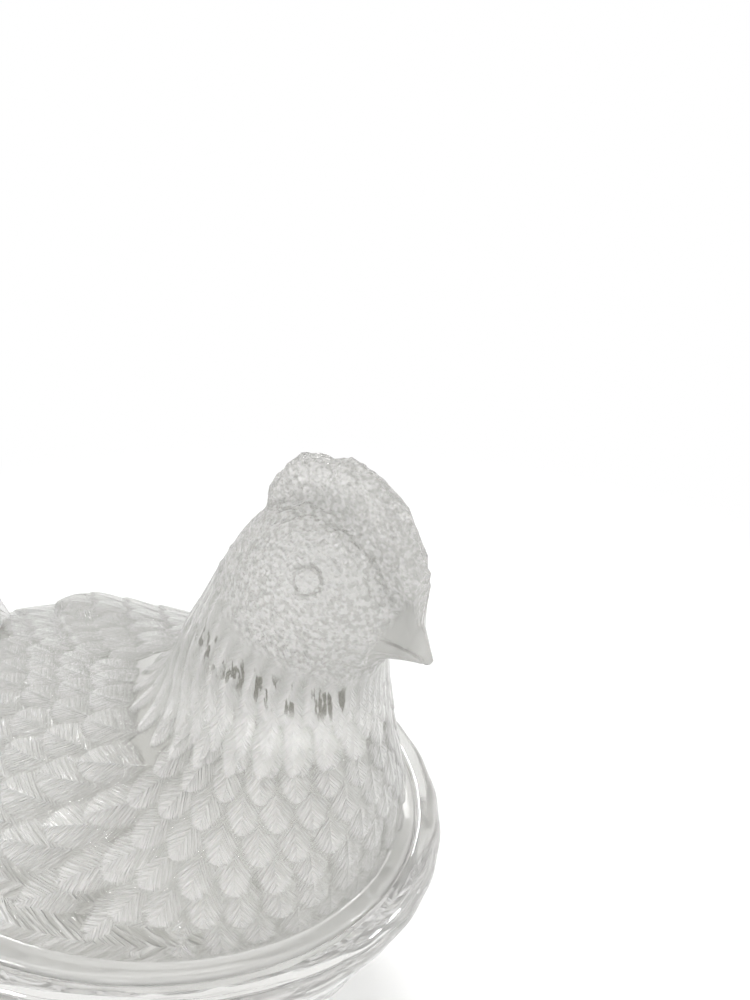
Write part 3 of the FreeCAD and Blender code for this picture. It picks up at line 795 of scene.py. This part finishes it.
def tail_piece(sizes):
    """Upright fan tail as its own closed grid of level ovals, with long feathers fanned from its
    root up to a scalloped edge."""
    root_at = sizes.body_back - sizes.tail_root_inset
    _, rear_lean, rear_long, _ = TAIL_SHARES[TAIL_REAR_RING]
    lean = (-LID_REAR - root_at - sizes.tail_root_half_long * rear_long) / rear_lean
    table = np.array([(sizes.tail_root_half_long * length, sizes.tail_half_wide * width,
                       RIM_PLANE + sizes.tail_high * high, -root_at - lean * back)
                      for high, back, length, width in TAIL_SHARES])
    table = smooth_rows(table, np.linspace(0, len(table) - 1, 72))
    middle = table[:, 3, None]
    grid = level_grid(table, oval(1.4, 1.0, 136))
    grid[..., 0] += middle

    # Scallops round the fan's edge, and the front half drawn in
    fan = np.array([-root_at + 4 * MM, 0, RIM_PLANE - 4 * MM])
    off = grid - fan
    turn = np.degrees(np.arctan2(off[..., 2], off[..., 0]))
    lobes = np.abs(np.sin(np.radians((turn - TAIL_TURNS[0]) / 11 * 180)))
    edge = ramp(np.hypot(off[..., 0], off[..., 2]), 38 * MM, 54 * MM) * (turn > 57) * (turn < 157)
    trim = 1 - 0.06 * lobes ** 1.5 * edge
    grid[..., 0] = fan[0] + off[..., 0] * trim
    grid[..., 0] -= np.maximum(grid[..., 0] - middle, 0) * 0.25
    grid[..., 2] = fan[2] + off[..., 2] * trim

    plumage = Plumage(grid, grid_normals(grid, len(grid) // 2, (1, 0, 0)))
    spots = plumage.points
    for side in (1, -1):
        for number, angle in enumerate(TAIL_TURNS):
            way = np.array([math.cos(math.radians(angle)), 0, math.sin(math.radians(angle))])
            long = (58 if angle < 125 else 50) * MM
            spot = fan + way * long * 0.5
            miss = (spots[:, 0] - spot[0]) ** 2 + (spots[:, 2] - spot[2]) ** 2
            miss = miss + np.where(side * spots[:, 1] > 0, 0, 1)
            lift = 1.2 if number % 2 else 0.95
            plumage.lay(spots[np.argmin(miss)], way, long, 11.5 * MM, sizes.feather_height * lift, *TAIL_BARBS)
    fade = ramp(spots[:, 2], RIM_PLANE + 8 * MM, RIM_PLANE + 14 * MM)
    height, owner = plumage.relief(fade)
    shell = Shell()
    shell.add(grid[0].mean(axis=0))
    shell.add((spots + plumage.normals * height[:, None]).reshape(grid.shape))
    shell.add(grid[-1].mean(axis=0) + np.array([0, 0, 0.4 * MM]))
    piece = shell.build("hen_tail")
    mark_feathers(piece.data, np.concatenate(shell.points), plumage, 1, height, owner)
    mark_points(piece.data, "frost", fade * 0, 1)
    # Painted shade: the tail's feathers are darker where they lie deep under their neighbours' tips
    mark_points(piece.data, "groove_shade", plumage.depth(height, owner) * fade, 1)
    return piece


def join_pieces(piece, other):
    """Union of two closed pieces, kept as the first one's mesh."""
    union = piece.modifiers.new("union", "BOOLEAN")
    union.operation, union.solver, union.object = "UNION", "MANIFOLD", other
    made = bpy.data.meshes.new_from_object(piece.evaluated_get(bpy.context.evaluated_depsgraph_get()))
    piece.modifiers.clear()
    made.materials.clear()
    piece.data = made
    bpy.data.objects.remove(other)


def make_hen(sizes):
    """Hen lid as one object, with its feather map and its frosted head as attributes."""
    shell, first, body, head, normals, places = hen_shell(sizes)
    plumage = Plumage(np.concatenate([body.reshape(-1, 3), head.reshape(-1, 3)]), normals)
    points = plumage.points
    lift = sizes.feather_height
    for side in (1, -1):
        lay_wing_feathers(plumage, body, side, sizes.body_front, lift)
    lay_breast_feathers(plumage, body, lift)
    lay_hackles(plumage, np.concatenate([body[:, ::2], head]), places, lift)
    lay_primaries(plumage, body, lift)
    top = points[:, 2] - RIM_PLANE
    fade = ramp(top, 0.1 * MM, 1.6 * MM)
    height, owner = plumage.relief(fade)

    bill, frost, comb = face_parts(points)
    carving = face_relief(points)
    bumps = grain(points, 2.3 * MM, 3) * 0.24 * comb + grain(points, 2.0 * MM, 5) * 0.09 * (1 - comb)
    height = height + (carving + bumps * MM * frost) * (top > FACE_LOW)

    piece = shell.build("hen_lid_glass")
    mesh = piece.data
    coords = np.concatenate(shell.points)
    coords[first:first + len(points)] += plumage.normals * height[:, None]
    mesh.vertices.foreach_set("co", coords.ravel())
    mark_feathers(mesh, coords, plumage, first, height, owner)
    # Painted shade: feathers are darker where they lie deep under their neighbours' tips, the frosted head is
    # darker in its carved hollows and a little all over, and the bill is darker all over and most in its mouth
    # line
    groove_shade = plumage.depth(height, owner) * (1 - frost) * fade + frost * (0.12 - carving / lift)
    groove_shade = np.clip(groove_shade, -0.5, 1.0) * (1 - bill) + bill * (0.5 - carving / lift)
    mark_points(mesh, "frost", frost, first)
    mark_points(mesh, "groove_shade", groove_shade, first)
    mesh.update()
    join_pieces(piece, tail_piece(sizes))
    return piece


# Finishes

class Wire:
    """A socket in a sum: each operator adds one Math node."""

    def __init__(self, sheet, socket):
        self.sheet, self.socket = sheet, socket

    def out(self, name):
        """Another output of the same node."""
        return Wire(self.sheet, self.socket.node.outputs[name])

    def maths(self, operation, *values):
        return self.sheet.node("ShaderNodeMath", {"operation": operation}, dict(enumerate(values)))

    def apply(self, operation, *others):
        return self.maths(operation, self, *others)

    def __add__(self, other):
        return self.maths("ADD", self, other)

    def __mul__(self, other):
        return self.maths("MULTIPLY", self, other)

    def __sub__(self, other):
        return self.maths("SUBTRACT", self, other)

    def __rsub__(self, other):
        return self.maths("SUBTRACT", other, self)

    def __pow__(self, other):
        return self.maths("POWER", self, other)

    __radd__, __rmul__ = __add__, __mul__


class Finish:
    """Node tree of a material or the world, cleared and built from code."""

    def __init__(self, owner):
        owner.use_nodes = True
        self.tree = owner.node_tree
        self.tree.nodes.clear()

    def node(self, kind, settings=None, sockets=None, out=0):
        """Any node: its settings first, then the values or links of its sockets."""
        made = self.tree.nodes.new(kind)
        for key, value in (settings or {}).items():
            setattr(made, key, value)
        for key, value in (sockets or {}).items():
            if isinstance(value, Wire):
                self.tree.links.new(value.socket, made.inputs[key])
            else:
                made.inputs[key].default_value = value
        return Wire(self, made.outputs[out]) if made.outputs else made

    def noise(self, place, scale, detail, roughness=0.5):
        return self.node("ShaderNodeTexNoise", {}, {
            "Vector": place, "Scale": scale, "Detail": detail, "Roughness": roughness})

    def spread(self, value, low, high, kind="SMOOTHSTEP"):
        """0 at low and 1 at high, held beyond them."""
        return self.node("ShaderNodeMapRange", {"interpolation_type": kind}, {
            "Value": value, "From Min": low, "From Max": high})

    def mix(self, share, first, second):
        """Colour between two others."""
        first, second = (c if isinstance(c, Wire) else tuple(c) + (1.0,) for c in (first, second))
        return self.node("ShaderNodeMix", {"data_type": "RGBA"}, {"Factor": share, 6: first, 7: second}, out=2)

    def mark(self, name):
        """A number that the mesh carries under a name."""
        return self.node("ShaderNodeAttribute", {"attribute_name": name}, out="Fac")


def hen_marks(sheet, place, cloud, flow, fine):
    """What the hen adds to plain glass: height of barbs and stipple, roughness of the frosted head, and painted
    shade: darker lines between barbs and in the grooves between feathers, painted light and dark specks on the
    head, and painted dark drops in the collar's notches."""
    uv = sheet.node("ShaderNodeUVMap", {"uv_map": "feather"})
    uv = sheet.node("ShaderNodeSeparateXYZ", {}, {"Vector": uv})
    across = (uv - 0.5) * (1 / UV_PER_PITCH)
    along = (uv.out("Y") - 0.5) * (1 / UV_PER_PITCH)
    veins, frost, groove_shade = (sheet.mark(name) for name in ("veins", "frost", "groove_shade"))
    away = across.apply("ABSOLUTE")
    slant = along - away * 1.4
    wave = ((slant + cloud * 1.6 + fine * 0.4) * (2 * math.pi)).apply("SINE")
    stretched = sheet.node("ShaderNodeCombineXYZ", {}, {"X": across * 0.3, "Y": slant * 1.3, "Z": flow * 9.0})
    strokes = sheet.spread(sheet.noise(stretched, 1.0, 2.0, 0.6), 0.38, 0.62)
    spine = (1 - (away * 0.9).apply("MINIMUM", 1.0)) ** 2
    barbs = (wave * 0.2 + strokes * 0.9 + spine * 1.1) * veins
    pits = sheet.node("ShaderNodeTexVoronoi", {"feature": "SMOOTH_F1"}, {
        "Vector": place, "Scale": 1250.0, "Smoothness": 0.3})
    height = barbs * 0.75 + (pits * 1.3 + fine * 1.3) * frost

    # Painted shade: dark olive drops in the notches along the collar, in a band about its sloping line, towards
    # the front and away from the middle plane
    spot = sheet.node("ShaderNodeSeparateXYZ", {}, {"Vector": place})
    off_line = (spot.out("Z") + spot * COLLAR_SLOPE - COLLAR_LINE).apply("ABSOLUTE")
    band = sheet.spread(off_line, 5 * MM, 1.5 * MM)
    fore = sheet.spread(spot, 38 * MM, 48 * MM, "LINEAR")
    flank = sheet.spread(spot.out("Y").apply("ABSOLUTE"), 6 * MM, 8 * MM, "LINEAR")
    upright = sheet.node("ShaderNodeVectorMath", {"operation": "MULTIPLY"}, {0: place, 1: (1.0, 1.0, 0.22)})
    painted_notch_drops = sheet.spread(sheet.noise(upright, 640.0, 3.0), 0.56, 0.61)
    # Painted glints and shade: fine light and dark specks on the frosted head
    specks = sheet.spread(sheet.noise(place, 1000.0, 1.0), 0.4, 0.6)
    # Painted shade: darker between the barb strokes, deep in the grooves between feathers, and round the head's
    # light specks
    painted_shade_lines = (1 - strokes) * veins * 0.2 + groove_shade * 0.62 + (0.75 - specks) * frost * 0.26
    painted_shade_and_rim_tone = (band * fore * flank * painted_notch_drops * 0.9).apply("MAXIMUM", painted_shade_lines.apply("MAXIMUM", 0.0))
    return height, frost * 0.12, painted_shade_and_rim_tone


def glass_finish(name, look, feathered):
    """Pressed glass: a slow melt with faint clouds, and the hen's marks with their painted shade, or the dish's
    rim in a darker olive tone.
    """
    material = bpy.data.materials.new(name)
    sheet = Finish(material)
    place = sheet.node("ShaderNodeTexCoord", out="Object")
    cloud, flow = sheet.noise(place, 90.0, 3.0, 0.55), sheet.noise(place, 28.0, 2.0)
    height = flow * 0.35 + cloud * 0.12
    rough = cloud * 0.05
    if feathered:
        relief, frosted, painted_shade_and_rim_tone = hen_marks(sheet, place, cloud, flow, sheet.noise(place, 420.0, 2.0, 0.6))
        height, rough = height + relief, rough + frosted
    else:
        up = sheet.node("ShaderNodeSeparateXYZ", {}, {"Vector": place}, out="Z")
        # Darker olive tone towards the top of the dish's rim, patchy with the melt
        painted_shade_and_rim_tone = sheet.spread(up, 38 * MM, 50 * MM) * flow * 0.42
    # The hen's painted shade and the dish's darker rim tone mix the glass colour towards the shade colour
    tone = sheet.mix(painted_shade_and_rim_tone, sheet.mix(flow, look.glass_colour, look.glass_shade), look.shade_and_rim_colour)
    bump = sheet.node("ShaderNodeBump", {}, {"Height": height, "Distance": look.bump_depth, "Strength": 1.0})
    surface = sheet.node("ShaderNodeBsdfPrincipled", {}, {
        "Base Color": tone, "Roughness": rough, "IOR": look.glass_index, "Normal": bump,
        "Transmission Weight": look.hen_clear if feathered else look.dish_clear})
    sheet.node("ShaderNodeOutputMaterial", {}, {"Surface": surface})
    return material


# Sizes

def mm_prop(name, description, millimetres):
    return bpy.props.FloatProperty(name=name, description=description, default=millimetres * MM, precision=4,
                                   unit="LENGTH", subtype="DISTANCE")


def share_prop(name, description, default):
    return bpy.props.FloatProperty(name=name, description=description, default=default, min=0, max=1,
                                   subtype="FACTOR")


def colour_prop(name, description, default):
    return bpy.props.FloatVectorProperty(name=name, description=description, default=default, size=3,
                                         min=0, max=1, subtype="COLOR")


def count_prop(name, description, default):
    return bpy.props.IntProperty(name=name, description=description, default=default)


class DishSizes(bpy.types.PropertyGroup):
    """Sizes of the nest dish that the frame's box doesn't give."""
    rim_high: mm_prop("Rim height", "Height of the rounded band round the mouth", 9.0)
    rim_wide: mm_prop("Rim width", "Width of the rim outside the lid's seat", 5.6)
    rim_lip: mm_prop("Rim lip", "Flat part of the rim next to the seat", 1.0)
    ledge_wide: mm_prop("Ledge width", "Width of the ledge that carries the lid", 5.4)
    flange_thick: mm_prop("Seat depth", "Depth of the lid's seat under the rim", 4.0)
    foot_long: mm_prop("Foot length", "Length of the oval foot", 108.0)
    foot_wide: mm_prop("Foot width", "Width of the oval foot", 73.0)
    foot_high: mm_prop("Foot height", "Height of the straight foot", 4.0)
    foot_recess: mm_prop("Foot recess", "Depth of the hollow under the foot", 1.6)
    foot_ring: mm_prop("Foot ring", "Width of the ring that the dish stands on", 7.0)
    floor_thick: mm_prop("Floor", "Thickness of the dish's floor", 5.9)
    wall: mm_prop("Wall", "Thickness of the dish's wall", 5.0)
    edge_round: mm_prop("Edge rounding", "How far the pressed edges are rounded", 0.8)
    weave_depth: mm_prop("Weave depth", "Relief of the woven pattern on the wall", 0.9)


class HenSizes(bpy.types.PropertyGroup):
    """Sizes of the hen lid that the frame's box doesn't give."""
    rim_wide: mm_prop("Rim width", "Width of the dish's rim outside the lid", 5.6)
    lid_clearance: mm_prop("Clearance", "Gap between the lid's edge and the dish's seat", 0.4)
    flange_thick: mm_prop("Flange", "Thickness of the lid's level margin", 4.0)
    seat_gap: mm_prop("Seat gap", "Film of air between the flange and the ledge", 0.06)
    wall: mm_prop("Wall", "Thickness of the hen's glass", 5.0)
    body_back: mm_prop("Rear reach", "From the middle to the rear of the body", 74.0)
    body_front: mm_prop("Front reach", "From the middle to the breast", 78.0)
    body_half_wide: mm_prop("Half width", "From the middle to the side of the body", 52.5)
    shoulder_high: mm_prop("Shoulder", "Height of the shoulder over the rim", 46.0)
    crown_high: mm_prop("Crown", "Height of the crown over the rim", 86.0)
    head_half_wide: mm_prop("Head half width", "From the middle to the cheek", 15.0)
    comb_rise: mm_prop("Comb rise", "Height of the comb over the crown", 8.6)
    comb_half_thick: mm_prop("Comb half thickness", "Half of the comb's thickness at its root", 3.2)
    bill_long: mm_prop("Bill", "Length of the bill", 8.2)
    bill_tip: mm_prop("Bill tip", "Thickness of the bill's blunt tip", 1.2)
    bill_arch: mm_prop("Bill arch", "How far the bill's ridge arches up", 0.9)
    wing_half_long: mm_prop("Wing half length", "Half length of the swelling on a flank", 49.0)
    wing_half_deep: mm_prop("Wing half depth", "Half depth of the swelling on a flank", 19.0)
    wing_half_thick: mm_prop("Wing half thickness", "Half thickness of the swelling", 7.6)
    wing_roll: bpy.props.FloatProperty(name="Wing roll", description="Turn of each wing about the long axis",
                                       default=math.radians(38.0), unit="ROTATION", subtype="ANGLE")
    tail_root_inset: mm_prop("Tail root", "From the rear of the body to the middle of the tail's root", 19.0)
    tail_root_half_long: mm_prop("Tail half length", "Half length of the tail at its root", 20.0)
    tail_half_wide: mm_prop("Tail half width", "Half width of the tail at its root", 16.0)
    tail_high: mm_prop("Tail height", "Height of the tail over the rim", 56.0)
    feather_height: mm_prop("Feather height", "Relief of a wing feather at its tip", 1.05)
    columns: count_prop("Columns", "Points round the body", 400)
    body_rows: count_prop("Body rows", "Rows of points from flange to shoulder", 136)
    head_rows: count_prop("Head rows", "Rows of points from shoulder to bill", 90)


class GlassLook(bpy.types.PropertyGroup):
    """Colours and surface of the glass."""
    glass_colour: colour_prop("Glass colour", "Colour of the clear glass", (0.985, 0.981, 0.966))
    glass_shade: colour_prop("Glass shade", "Colour where the melt is a little greyer", (0.965, 0.964, 0.945))
    # Colour that the hen's painted shade and the dish's darker rim tone mix towards
    shade_and_rim_colour: colour_prop("Deep colour", "Olive grey of grooves, deep places and notches", (0.2, 0.195, 0.155))
    hen_clear: share_prop("Clear share, hen", "Share of the light that goes through the lid's surface", 0.69)
    dish_clear: share_prop("Clear share, dish", "Share of the light that goes through the dish's surface", 0.8)
    glass_index: bpy.props.FloatProperty(name="Refractive index", description="How strongly the glass bends light",
                                         default=1.5)
    bump_depth: mm_prop("Fine relief", "Depth of barbs and stipple", 0.42)


class StageLook(bpy.types.PropertyGroup):
    """Camera, floor and light."""
    lens: bpy.props.FloatProperty(name="Focal length", description="Focal length of the camera", default=32.4,
                                  unit="CAMERA")
    camera_place: bpy.props.FloatVectorProperty(name="Camera place", description="Where the camera stands",
                                                default=(0.15073, -0.11776, 0.20252), subtype="TRANSLATION")
    camera_way: bpy.props.FloatVectorProperty(name="Camera way", description="Direction that the camera looks in",
                                              default=(-0.48869, 0.77000, -0.41022), subtype="DIRECTION")
    floor_colour: colour_prop("Floor", "Colour of the paper that the dish stands on", (0.97, 0.97, 0.97))


# Operators

class CANDY_OT_nest_dish(bpy.types.Operator):
    """Make the oval nest dish of clear glass"""
    bl_idname = "candy.nest_dish"
    bl_label = "Nest Dish"

    def execute(self, context):
        piece = dish_shell(context.scene.candy_dish).build("nest_dish_glass")
        piece.data.materials.append(glass_finish("nest_glass", context.scene.candy_glass, False))
        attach(piece, "dish")
        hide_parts("nest_dish")
        return {"FINISHED"}


class CANDY_OT_hen_lid(bpy.types.Operator):
    """Make the hen lid of clear glass with its feathers"""
    bl_idname = "candy.hen_lid"
    bl_label = "Hen Lid"

    def execute(self, context):
        piece = make_hen(context.scene.candy_hen)
        piece.data.materials.append(glass_finish("hen_glass", context.scene.candy_glass, True))
        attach(piece, "lid")
        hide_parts("hen_lid")
        return {"FINISHED"}


FLOOR_HALF = 3.0
# Distance from the middle over which the paper turns into pure white
WHITE_FROM, WHITE_TO = 0.13, 0.36
# Grey of the world: for light on plain surfaces, and low in the room seen through the glass
PLAIN_GREY = (0.79, 0.79, 0.78)
ROOM_GREY = (0.87, 0.87, 0.86)
WHITE = (1.0, 1.0, 1.0)
# Lamps: name, place, aim, watts
LAMP_SIZE = 0.2
LAMPS = (
    ("window", (-0.35, -0.95, 0.6), (0, 0, 0.05), 4.6),
    ("sky_light", (-0.5, 0.7, 0.8), (0, 0, 0.05), 4.5),
    ("side_light", (0.85, 0.3, 0.5), (0.04, 0, 0.08), 4.0),
)


def aim_at(obj, place, way):
    """Stand an object at a place with its -Z axis along a way and its Y axis up."""
    back = -unit(np.array(way, float))
    right = unit(np.cross((0.0, 0.0, 1.0), back))
    up = np.cross(back, right)
    turn = Matrix(np.column_stack([right, up, back]).tolist()).to_4x4()
    turn.translation = place
    obj.matrix_world = turn


def ray_kinds(sheet):
    """Two wires: 1 for camera rays, and 1 for rays that glass throws back or lets through."""
    camera = sheet.node("ShaderNodeLightPath", out="Is Camera Ray")
    return camera, camera.out("Is Glossy Ray").apply("MAXIMUM", camera.out("Is Transmission Ray"))


def make_floor(colour):
    """Paper that takes the dish's shadow and turns into pure white further out."""
    mesh = bpy.data.meshes.new("floor")
    corners = [(x * FLOOR_HALF, y * FLOOR_HALF, 0) for x, y in ((-1, -1), (1, -1), (1, 1), (-1, 1))]
    mesh.from_pydata(corners, [], [(0, 1, 2, 3)])
    material = bpy.data.materials.new("floor_paper")
    sheet = Finish(material)
    place = sheet.node("ShaderNodeTexCoord", out="Object")
    away = sheet.node("ShaderNodeVectorMath", {"operation": "LENGTH"}, {0: place}, out="Value")
    far = sheet.spread(away, WHITE_FROM, WHITE_TO)
    camera, glass = ray_kinds(sheet)
    white = (camera * far).apply("MAXIMUM", glass * far.apply("MAXIMUM", 0.85))
    paper = sheet.node("ShaderNodeBsdfDiffuse", {}, {"Color": tuple(colour) + (1.0,)})
    glow = sheet.node("ShaderNodeEmission", {}, {"Color": WHITE + (1.0,), "Strength": 1.0})
    surface = sheet.node("ShaderNodeMixShader", {}, {0: white, 1: paper, 2: glow})
    sheet.node("ShaderNodeOutputMaterial", {}, {"Surface": surface})
    mesh.materials.append(material)
    return new_object("floor", mesh)


def make_world(scene):
    """White studio: white to the camera, a little grey for plain light and low in the room."""
    world = bpy.data.worlds.new("studio")
    scene.world = world
    sheet = Finish(world)
    camera, glass = ray_kinds(sheet)
    way = sheet.node("ShaderNodeTexCoord", out="Generated")
    low = sheet.spread(sheet.node("ShaderNodeSeparateXYZ", {}, {"Vector": way}, out="Z"), 0.95, 0.25)
    seen = sheet.mix((1 - camera) * low, WHITE, ROOM_GREY)
    colour = sheet.mix(glass.apply("MAXIMUM", camera), PLAIN_GREY, seen)
    sky = sheet.node("ShaderNodeBackground", {}, {"Color": colour, "Strength": 1.0})
    sheet.node("ShaderNodeOutputWorld", {}, {"Surface": sky})


class CANDY_OT_stage(bpy.types.Operator):
    """Make the floor, the world, the lamps and the camera"""
    bl_idname = "candy.stage"
    bl_label = "Stage"

    def execute(self, context):
        look = context.scene.candy_stage
        floor = make_floor(look.floor_colour)
        make_world(context.scene)
        for name, place, aim, watts in LAMPS:
            lamp_data = bpy.data.lights.new(name, "AREA")
            lamp_data.shape, lamp_data.size, lamp_data.energy = "SQUARE", LAMP_SIZE, watts
            aim_at(new_object(name, lamp_data), place, np.array(aim) - np.array(place))
        camera_data = bpy.data.cameras.new("camera")
        camera_data.lens = look.lens
        camera_data.sensor_width = 36.0
        camera_data.clip_start = 0.01
        camera = new_object("camera", camera_data)
        aim_at(camera, tuple(look.camera_place), tuple(look.camera_way))
        context.scene.camera = camera
        context.scene.view_settings.view_transform = "Standard"
        return {"FINISHED"}


class CANDY_PT_panel(bpy.types.Panel):
    """Buttons for the dish, the hen and the stage"""
    bl_idname = "CANDY_PT_panel"
    bl_label = "Candy Dish"
    bl_space_type = "VIEW_3D"
    bl_region_type = "UI"
    bl_category = "Candy Dish"

    def draw(self, context):
        for operator in OPERATORS:
            self.layout.operator(operator.bl_idname)
        for name in SETTINGS:
            box = self.layout.box()
            group = getattr(context.scene, name)
            for prop in group.bl_rna.properties.keys():
                if prop not in ("rna_type", "name"):
                    box.prop(group, prop)


OPERATORS = (CANDY_OT_nest_dish, CANDY_OT_hen_lid, CANDY_OT_stage)
SETTINGS = {"candy_dish": DishSizes, "candy_hen": HenSizes, "candy_glass": GlassLook, "candy_stage": StageLook}
CLASSES = tuple(SETTINGS.values()) + OPERATORS + (CANDY_PT_panel,)


def register():
    for item in CLASSES:
        bpy.utils.register_class(item)
    for name, group in SETTINGS.items():
        setattr(bpy.types.Scene, name, bpy.props.PointerProperty(type=group))


def unregister():
    for name in SETTINGS:
        delattr(bpy.types.Scene, name)
    for item in reversed(CLASSES):
        bpy.utils.unregister_class(item)


def main():
    register()
    bpy.ops.candy.stage()
    bpy.ops.candy.nest_dish()
    bpy.ops.candy.hen_lid()


if __name__ == "__main__":
    main()
